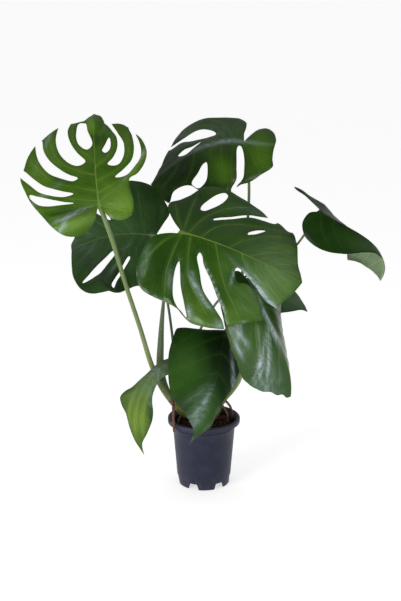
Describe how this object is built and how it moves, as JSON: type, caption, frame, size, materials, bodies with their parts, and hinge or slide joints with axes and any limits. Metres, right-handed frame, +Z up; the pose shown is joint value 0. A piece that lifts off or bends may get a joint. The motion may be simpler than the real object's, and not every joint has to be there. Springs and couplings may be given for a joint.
{
  "type": "potted monstera plant",
  "caption": "Young monstera with long leaf stalks and broad, split, bent leaves, rooted in dark soil in a tapered plastic nursery pot.",
  "frame": {"origin": "on the ground under the pot, on the pot's axis, which is also the middle of the plant's outline seen from above to within a few millimetres", "axes": "+Z up; the pictured front of the plant faces -Y; +X to the viewer's right"},
  "size_m": [0.786, 0.3816, 0.8689],
  "materials": {
    "pot_plastic": "satin moulded plastic",
    "soil": "moist peat mix",
    "stalk": "smooth, waxy",
    "root": "rough bark",
    "leaf": "glossy, waxy",
    "leaf_dark": "glossy, waxy",
    "leaf_young": "glossy, waxy"
  },
  "bodies": {
    "root": {"pot": "pot_plastic", "soil": "soil", "stem_left": "stalk", "stem_right": "stalk", "root_over_rim": "root", "root_left": "root", "root_right": "root", "root_right_inner": "root", "leaf_upper_left": "leaf", "leaf_behind_left": "leaf_dark", "leaf_top": "leaf", "leaf_centre": "leaf", "leaf_right": "leaf_dark", "leaf_lower_right": "leaf", "leaf_behind_right": "leaf_dark", "leaf_front": "leaf_dark", "leaf_small_left": "leaf_young"}
  },
  "joints": []
}
